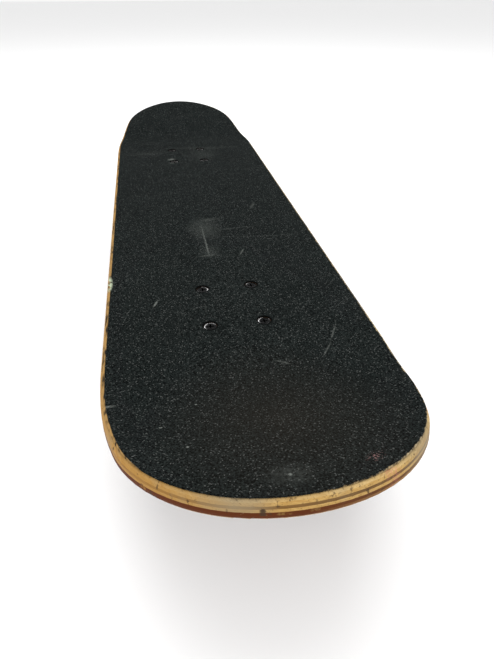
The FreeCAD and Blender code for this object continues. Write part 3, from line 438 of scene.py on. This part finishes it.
def makeStainedVeneer():
    look, ramps = baseLook, baseLook["ramps"]
    material, tree, shader, place = startMaterial("stainedVeneer", roughness=look["roughness"])
    shader.inputs["Specular IOR Level"].default_value = look["gloss"]
    x = parts(tree, place)[0]
    grain = noise(tree, stretch(tree, place, (9, 160, 160)), 1.0, detail=6, roughness=0.7, distortion=0.6)
    colour = blendColour(tree, ease(tree, grain, *ramps["grain"]), look["deep"], look["stain"])
    strokes = noise(tree, stretch(tree, place, (30, 700, 30), turn=84), 1.0, detail=3, roughness=0.6)
    slides = heaviest(tree, [mark(tree, place, *patch, soft=0.8) for patch in look["slides"]])
    scraped = calc(tree, "MULTIPLY", slides, ease(tree, strokes, *ramps["stroke"]))
    colour = blendColour(tree, calc(tree, "MULTIPLY", scraped, look["scraping"]), colour, look["bare"])
    hair = noise(tree, stretch(tree, place, (12, 1400, 12), turn=12), 1.0, detail=2)
    hairs = calc(tree, "MULTIPLY", ease(tree, hair, *ramps["hair"]), look["hairs"])
    colour = blendColour(tree, hairs, colour, look["dust"])
    chewed = calc(tree, "MULTIPLY", noise(tree, place, 210, detail=5, roughness=0.75), look["chewed"])
    tipsOnly = ease(tree, calc(tree, "ABSOLUTE", x), *ramps["tip"])
    inside = calc(tree, "SUBTRACT", rimDistance(tree, place), chewed)
    chips = calc(tree, "MULTIPLY", ease(tree, inside, *look["chipEdge"]), tipsOnly)
    colour = blendColour(tree, calc(tree, "MULTIPLY", chips, look["chipping"]), colour, look["bare"])
    rough = calc(tree, "ADD", 0.36, calc(tree, "MULTIPLY", calc(tree, "MAXIMUM", scraped, chips), 0.35))
    give(tree, shader, colour=colour, roughness=rough)
    height = calc(tree, "SUBTRACT", grain, calc(tree, "MULTIPLY", scraped, 0.8))
    bump(tree, shader, height, look["depth"], 0.6)
    return material


metalLook = {
    "castAluminium": {"tone": (0.60, 0.605, 0.61), "dark": (0.30, 0.30, 0.30),
        "rough": 0.42, "grain": 900, "depth": 0.12 * mm},
    "zincSteel": {"tone": (0.62, 0.62, 0.61), "dark": (0.36, 0.34, 0.30),
        "rough": 0.30, "grain": 1800, "depth": 0.03 * mm},
    "groundSteel": {"tone": (0.68, 0.68, 0.69), "dark": (0.45, 0.45, 0.45),
        "rough": 0.18, "grain": 2500, "depth": 0.01 * mm},
    "polishedSteel": {"tone": (0.80, 0.80, 0.81), "dark": (0.66, 0.66, 0.67),
        "rough": 0.07, "grain": 600, "depth": 0.004 * mm},
    "blackSteel": {"tone": (0.0045, 0.0048, 0.005), "dark": (0.002, 0.002, 0.0022),
        "rough": 0.34, "grain": 1400, "depth": 0.03 * mm},
    "shieldEnamel": {"tone": (0.030, 0.030, 0.032), "dark": (0.014, 0.014, 0.015),
        "rough": 0.30, "grain": 1200, "depth": 0.01 * mm},
}


def makeMetal(name, metallic=1.0):
    look = metalLook[name]
    material, tree, shader, place = startMaterial(name, metallic=metallic)
    patches = noise(tree, place, 130, detail=5, roughness=0.65)
    grain = noise(tree, place, look["grain"], detail=2)
    wear = ease(tree, patches, 0.35, 0.70)
    colour = blendColour(tree, wear, look["tone"], look["dark"])
    rough = calc(tree, "ADD", look["rough"] - 0.06, calc(tree, "MULTIPLY", wear, 0.22))
    give(tree, shader, colour=colour, roughness=rough)
    bump(tree, shader, calc(tree, "ADD", grain, calc(tree, "MULTIPLY", patches, 0.7)), look["depth"], 0.8)
    return material


# bare steel on one side of a ring round each bolt head: partly real wear, partly a painted highlight crescent
boltLook = {"bare": (0.80, 0.80, 0.80), "wearAndHighlight": (3.8 * mm, 4.37 * mm)}


def makeBoltBlack():
    look = metalLook["blackSteel"]
    material, tree, shader, place = startMaterial("blackSteel", roughness=look["rough"], metallic=1.0)
    fromBolt = boltDistance(tree, place)
    # painted highlight: the bare ring shows on one side only, like a bright crescent, and also stands for real
    # wear
    oneSide = ease(tree, noise(tree, place, 120, detail=1), 0.44, 0.49)
    scratches = ease(tree, noise(tree, place, 650, detail=4, roughness=0.7), 0.36, 0.52)
    scratched = calc(tree, "MULTIPLY", oneSide, scratches)
    wearAndHighlight = calc(tree, "MULTIPLY", ease(tree, fromBolt, *boltLook["wearAndHighlight"]), scratched)
    colour = blendColour(tree, noise(tree, place, 400), look["dark"], look["tone"])
    colour = blendColour(tree, wearAndHighlight, colour, boltLook["bare"])
    give(tree, shader, colour=colour)
    bump(tree, shader, noise(tree, place, look["grain"]), look["depth"], 0.7)
    return material


wheelLook = {
    "clean": (0.80, 0.77, 0.69), "warm": (0.70, 0.64, 0.52), "road": (0.20, 0.18, 0.16),
    "roughness": 0.38, "glow": 0.12, "glowDepth": (4 * mm, 3 * mm, 2 * mm),
    "grimeGrain": 620, "tread": (23.6 * mm, 25.4 * mm), "depth": 0.10 * mm,
}


def makeUrethane():
    look = wheelLook
    material, tree, shader, place = startMaterial("wheelUrethane", roughness=look["roughness"])
    shader.inputs["Subsurface Weight"].default_value = look["glow"]
    shader.inputs["Subsurface Radius"].default_value = look["glowDepth"]
    x, _, z = parts(tree, place)
    offsets = [calc(tree, "ABSOLUTE", calc(tree, "SUBTRACT", x, truckX[end])) for end in ends]
    level = calc(tree, "MINIMUM", *offsets)
    up = calc(tree, "SUBTRACT", z, axleZ)
    radius = spanOf(tree, level, up)
    colour = blendColour(tree, noise(tree, place, 45, detail=3), look["clean"], look["warm"])
    grimeAndShade = noise(tree, stretch(tree, place, (1, 0.45, 1)), look["grimeGrain"], detail=6, roughness=0.8)
    tread = ease(tree, radius, *look["tread"])
    specks = calc(tree, "MULTIPLY", ease(tree, grimeAndShade, 0.42, 0.66), 0.6)
    dirty = calc(tree, "MULTIPLY", tread, calc(tree, "ADD", 0.22, specks))
    sideDirt = calc(tree, "MULTIPLY", ease(tree, noise(tree, place, 150, detail=5), 0.52, 0.75), 0.25)
    dirtAndShade = calc(tree, "MAXIMUM", calc(tree, "MULTIPLY", dirty, 0.7), sideDirt)
    colour = blendColour(tree, dirtAndShade, colour, look["road"])
    rough = calc(tree, "ADD", 0.34, calc(tree, "MULTIPLY", tread, 0.3))
    give(tree, shader, colour=colour, roughness=rough)
    bump(tree, shader, calc(tree, "ADD", grimeAndShade, noise(tree, place, 1500)), look["depth"], 0.6)
    return material


plasticLook = {
    "bushingUrethane": {"tone": (0.50, 0.075, 0.025), "dark": (0.33, 0.045, 0.018), "rough": 0.34},
    "cupUrethane": {"tone": (0.022, 0.022, 0.022), "dark": (0.012, 0.012, 0.012), "rough": 0.5},
    "cageNylon": {"tone": (0.72, 0.69, 0.60), "dark": (0.55, 0.52, 0.43), "rough": 0.4},
    "nylonCollar": {"tone": (0.75, 0.75, 0.73), "dark": (0.56, 0.55, 0.52), "rough": 0.42},
}
plasticDepth = 0.03 * mm


def makePlastic(name):
    look = plasticLook[name]
    material, tree, shader, place = startMaterial(name)
    patches = noise(tree, place, 170, detail=4, roughness=0.6)
    colour = blendColour(tree, ease(tree, patches, 0.35, 0.7), look["tone"], look["dark"])
    rough = calc(tree, "ADD", look["rough"], calc(tree, "MULTIPLY", patches, 0.15))
    give(tree, shader, colour=colour, roughness=rough)
    bump(tree, shader, noise(tree, place, 1100, detail=2), plasticDepth, 0.6)
    return material


def deselect():
    if bpy.context.object and bpy.context.object.mode != "OBJECT":
        bpy.ops.object.mode_set(mode="OBJECT")
    bpy.ops.object.select_all(action="DESELECT")


def pick(piece):
    deselect()
    piece.select_set(True)
    bpy.context.view_layer.objects.active = piece


def applyModifiers(piece):
    pick(piece)
    for modifier in list(piece.modifiers):
        bpy.ops.object.modifier_apply(modifier=modifier.name)


def settle(piece, matrix):  # the place goes into the mesh
    pick(piece)
    piece.matrix_world = matrix
    bpy.ops.object.transform_apply(location=True, rotation=True, scale=True)


pointSize = 1 * mm
mergeGap = 0.001 * mm
smoothAngle = math.radians(35)


def turnOnLathe(name, outline, steps):
    deselect()
    bpy.ops.mesh.primitive_plane_add(size=pointSize, location=(0, 0, 0))
    piece = bpy.context.object
    piece.name = name
    bpy.ops.object.mode_set(mode="EDIT")
    bpy.ops.mesh.select_all(action="SELECT")
    bpy.ops.mesh.merge(type="CENTER")
    radius, height = outline[0]
    bpy.ops.transform.translate(value=(radius, 0, height))
    for nextRadius, nextHeight in outline[1:] + outline[:1]:
        step = (nextRadius - radius, 0, nextHeight - height)
        bpy.ops.mesh.extrude_region_move(TRANSFORM_OT_translate={"value": step})
        radius, height = nextRadius, nextHeight
    bpy.ops.mesh.select_all(action="SELECT")
    bpy.ops.mesh.remove_doubles(threshold=mergeGap)
    bpy.ops.mesh.spin(steps=steps, angle=2 * math.pi, center=(0, 0, 0), axis=(0, 0, 1))
    bpy.ops.mesh.select_all(action="SELECT")
    bpy.ops.mesh.remove_doubles(threshold=mergeGap)
    bpy.ops.mesh.normals_make_consistent(inside=False)
    bpy.ops.object.mode_set(mode="OBJECT")
    pick(piece)
    bpy.ops.object.shade_smooth_by_angle(angle=smoothAngle)
    return piece


def copyOf(piece, name):
    twin = piece.copy()
    twin.data = piece.data.copy()
    twin.name = name
    bpy.context.collection.objects.link(twin)
    return twin


def finishPiece(piece, body, slot, material, *nodes):
    piece.data.materials.clear()
    piece.data.materials.append(material)
    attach(piece, body)
    if nodes:
        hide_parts(*nodes)


kingpinTilt = math.radians(30)


def kingpinMatrix(end):
    tilt = Matrix.Rotation(kingpinTilt * ends[end], 4, "Y")
    return Matrix.Translation(steerAt[end]) @ tilt


def axleMatrix(end, side, outward):
    turn = Matrix.Rotation(-math.pi / 2 * sides[side], 4, "X")
    return Matrix.Translation((truckX[end], outward * sides[side], axleZ)) @ turn


castSettings = {"voxel": 0.7 * mm, "smoothing": 7}


def makeCasting(node, body, material):
    piece = copyOf(frame["nodes"][node], "cast_" + node)
    pick(piece)
    bpy.ops.object.mode_set(mode="EDIT")
    bpy.ops.mesh.select_all(action="SELECT")
    bpy.ops.mesh.remove_doubles(threshold=mergeGap)
    bpy.ops.object.mode_set(mode="OBJECT")
    skin = piece.modifiers.new("skin", "REMESH")
    skin.mode = "VOXEL"
    skin.voxel_size = castSettings["voxel"]
    soften = piece.modifiers.new("soften", "SMOOTH")
    soften.factor = 0.5
    soften.iterations = castSettings["smoothing"]
    applyModifiers(piece)
    bpy.ops.object.shade_smooth()
    finishPiece(piece, body, "cast_aluminium", material, node)


bushingSettings = {
    "hole": 5.05 * mm, "barrel": 12.5 * mm, "barrelHeight": 14 * mm, "bulge": 0.35 * mm,
    "coneWide": 12 * mm, "coneTip": 9.5 * mm, "coneHeight": 11 * mm, "start": 2.5 * mm, "rows": 10,
    "steps": 64, "margin": 0.02,
}


def makeBushings(end, material):
    settings = bushingSettings
    rows = settings["rows"]
    start = settings["start"]
    shapes = {  # near end, far end and their radii, along the kingpin
        "upper": (start, start + settings["barrelHeight"], settings["barrel"], settings["barrel"]),
        "lower": (-start, -start - settings["coneHeight"], settings["coneWide"], settings["coneTip"]),
    }
    for name, (near, far, nearRadius, farRadius) in shapes.items():
        outline = []
        for row in range(rows + 1):
            share = row / rows
            belly = math.sin(math.pi * share) * settings["bulge"]
            radius = nearRadius + (farRadius - nearRadius) * share + belly
            outline.append((radius, near + (far - near) * share))
        outline += [(settings["hole"], near + (far - near) * (rows - row) / rows) for row in range(rows + 1)]
        piece = turnOnLathe(f"{end}_{name}_urethane", outline, settings["steps"])
        place = kingpinMatrix(end)
        settle(piece, place)
        piece.data.materials.append(material)
        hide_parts(f"{end}_{name}_bushing")
        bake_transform(piece)


threadSettings = {
    "flank": 0.42, "crest": 0.10, "steps": 28,
    "deckBolt": {"radius": 2.4 * mm, "pitch": 0.8 * mm, "rise": 0.28 * mm,
                 "length": 5.6 * mm, "start": 0.25 * mm},
    "kingpin": {"radius": 4.6 * mm, "pitch": 1.06 * mm, "rise": 0.35 * mm,
                "length": 1.5 * mm, "start": -25.4 * mm},
}


def cutThread(name, kind):
    settings = threadSettings[kind]
    radius, pitch, rise = settings["radius"], settings["pitch"], settings["rise"]
    flank, crest = pitch * threadSettings["flank"], pitch * threadSettings["crest"]
    deselect()
    bpy.ops.mesh.primitive_plane_add(size=pointSize, location=(0, 0, 0))
    piece = bpy.context.object
    piece.name = name
    bpy.ops.object.mode_set(mode="EDIT")
    bpy.ops.mesh.select_all(action="SELECT")
    bpy.ops.mesh.merge(type="CENTER")
    bpy.ops.transform.translate(value=(radius - rise, 0, 0))
    for step in ((2 * rise, 0, flank), (0, 0, crest), (-2 * rise, 0, flank)):
        bpy.ops.mesh.extrude_region_move(TRANSFORM_OT_translate={"value": step})
    bpy.ops.mesh.select_all(action="SELECT")
    bpy.ops.mesh.edge_face_add()
    bpy.ops.mesh.delete(type="ONLY_FACE")
    bpy.ops.object.mode_set(mode="OBJECT")
    helix = piece.modifiers.new("helix", "SCREW")
    helix.screw_offset = pitch
    helix.iterations = max(1, round(settings["length"] / pitch) - 1)
    helix.steps = threadSettings["steps"]
    helix.render_steps = threadSettings["steps"]
    applyModifiers(piece)
    bpy.ops.object.mode_set(mode="EDIT")
    bpy.ops.mesh.select_all(action="SELECT")
    bpy.ops.mesh.fill_holes(sides=8)
    bpy.ops.mesh.select_all(action="SELECT")
    bpy.ops.mesh.normals_make_consistent(inside=False)
    bpy.ops.object.mode_set(mode="OBJECT")
    bpy.ops.object.shade_smooth_by_angle(angle=smoothAngle)
    return piece


def makeThreads(materials):
    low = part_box("front_deck_bolts")[0][2] + threadSettings["deckBolt"]["start"]
    master = cutThread("boltThread", "deckBolt")
    for end in ends:
        for number, place in enumerate(boltPlaces(end)):
            piece = copyOf(master, f"{end}_bolt_thread_{number + 1}")
            settle(piece, Matrix.Translation((*place, low)))
            finishPiece(piece, "deck", "black_steel", materials["black"])
    bpy.data.objects.remove(master)
    for end in ends:
        pin = cutThread(f"{end}_kingpin_thread", "kingpin")
        settle(pin, kingpinMatrix(end) @ Matrix.Translation((0, 0, threadSettings["kingpin"]["start"])))
        finishPiece(pin, "deck", "zinc_steel", materials["zinc"])


collarSettings = {
    "lip": 0.88 * mm, "crest": 0.275 * mm, "rolled": 0.7, "filled": 0.72, "steps": 40,
    "kingpinPlace": -24.0 * mm,
    "axle": {"inside": 4.0 * mm, "outside": 5.9 * mm, "height": 1.0 * mm},
    "kingpin": {"inside": 4.85 * mm, "outside": 6.8 * mm, "height": 1.0 * mm},
    "deck": {"inside": 2.5 * mm, "outside": 4.3 * mm, "height": 0.9 * mm},
}


def makeCollar(name, kind, matrix, body, materials):  # the rolled lip of a lock nut round its nylon ring
    settings = collarSettings[kind]
    inside, outside, height = settings["inside"], settings["outside"], settings["height"]
    steps = collarSettings["steps"]
    inner, crest = outside - collarSettings["lip"], outside - collarSettings["crest"]
    rolled, filled = height * collarSettings["rolled"], height * collarSettings["filled"]
    lipOutline = [(inner, 0), (outside, 0), (outside, rolled), (crest, height), (inner, height)]
    lip = turnOnLathe(name + "_lip", lipOutline, steps)
    settle(lip, matrix)
    finishPiece(lip, body, "zinc_steel", materials["zinc"])
    ring = turnOnLathe(name + "_nylon", [(inside, 0), (inner, 0), (inner, filled), (inside, filled)], steps)
    settle(ring, matrix)
    finishPiece(ring, body, "cage_nylon", materials["collar"])


def makeCollars(materials):
    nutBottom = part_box("front_deck_nuts")[0][2]
    for end in ends:
        below = Matrix.Translation((0, 0, collarSettings["kingpinPlace"]))
        down = kingpinMatrix(end) @ below @ Matrix.Rotation(math.pi, 4, "X")
        makeCollar(f"{end}_kingpin_collar", "kingpin", down, "deck", materials)
        for side in sides:
            out = axleMatrix(end, side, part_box(f"{end}_axle_nuts")[1][1])
            makeCollar(f"{end}_{side}_axle_collar", "axle", out, end + "_hanger", materials)
        for number, place in enumerate(boltPlaces(end)):
            under = Matrix.Translation((*place, nutBottom)) @ Matrix.Rotation(math.pi, 4, "X")
            makeCollar(f"{end}_deck_collar_{number + 1}", "deck", under, "deck", materials)


wheelSettings = {
    "radius": 26 * mm, "half": 16 * mm, "tread": 9.5 * mm, "lip": 18.5 * mm, "dish": 15.5 * mm,
    "floor": 12 * mm, "seat": 11.02 * mm, "step": 5 * mm, "core": 9.6 * mm, "arcSteps": 9, "steps": 144,
}


def wheelOutline():
    settings = wheelSettings
    edge = settings["half"] - settings["tread"]
    shoulder = settings["radius"] - edge
    half = [(settings["core"], settings["step"]), (settings["seat"], settings["step"]),
            (settings["seat"], settings["floor"]), (settings["dish"], settings["floor"]),
            (settings["lip"], settings["half"])]
    for step in range(settings["arcSteps"] + 1):
        angle = math.pi / 2 * (1 - step / settings["arcSteps"])
        half.append((shoulder + edge * math.cos(angle), settings["tread"] + edge * math.sin(angle)))
    return half + [(radius, -height) for radius, height in reversed(half)]


def makeWheels(material):
    master = turnOnLathe("wheelMaster", wheelOutline(), wheelSettings["steps"])
    for end in ends:
        for side in sides:
            low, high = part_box(f"{end}_{side}_wheel")
            piece = copyOf(master, f"{end}_{side}_tyre")
            settle(piece, axleMatrix(end, side, abs(low[1] + high[1]) / 2))
            finishPiece(piece, f"{end}_{side}_wheel", "wheel_urethane", material, f"{end}_{side}_wheel")
    bpy.data.objects.remove(master)


def paint(node, material):
    piece = frame["nodes"][node]
    for slot in piece.material_slots:
        slot.material = material


veneerKinds = {
    "ply_1_top": "top", "ply_2": "long", "ply_3": "cross", "ply_4": "long", "ply_5": "cross", "ply_6": "low",
}


def paintDeck():
    paint("grip_tape", makeGrip())
    for node, kind in veneerKinds.items():
        paint(node, makeVeneer(node, kind))
    paint("ply_7_bottom", makeStainedVeneer())


slotFinishes = {
    "black_steel": "black", "zinc_steel": "zinc", "cast_aluminium": "cast", "cup_urethane": "cup",
    "bushing_urethane": "bushing", "wheel_urethane": "urethane", "bearing_steel": "ground",
    "shield_steel": "shield", "ball_steel": "ball", "cage_nylon": "cage",
}


def buildBoard():
    addCamera()
    addLights()
    addFloor()
    print("camera, floor and light ready")
    paintDeck()
    print("deck painted")
    materials = {
        "cast": makeMetal("castAluminium"), "zinc": makeMetal("zincSteel"),
        "ground": makeMetal("groundSteel"), "ball": makeMetal("polishedSteel"),
        "shield": makeMetal("shieldEnamel", metallic=0.0), "black": makeBoltBlack(),
        "urethane": makeUrethane(), "bushing": makePlastic("bushingUrethane"),
        "cup": makePlastic("cupUrethane"), "cage": makePlastic("cageNylon"),
        "collar": makePlastic("nylonCollar"),
    }
    for part in frame["record"]["subparts"]:
        if part["material_slot"] in slotFinishes:
            paint(part["node"], materials[slotFinishes[part["material_slot"]]])
    print("fittings painted")
    for end in ends:
        makeCasting(end + "_hanger", end + "_hanger", materials["cast"])
        makeCasting(end + "_baseplate", "deck", materials["cast"])
        makeBushings(end, materials["bushing"])
    print("trucks ready")
    makeThreads(materials)
    makeCollars(materials)
    print("threads and nuts ready")
    makeWheels(materials["urethane"])
    print("wheels ready")


buildBoard()
deselect()
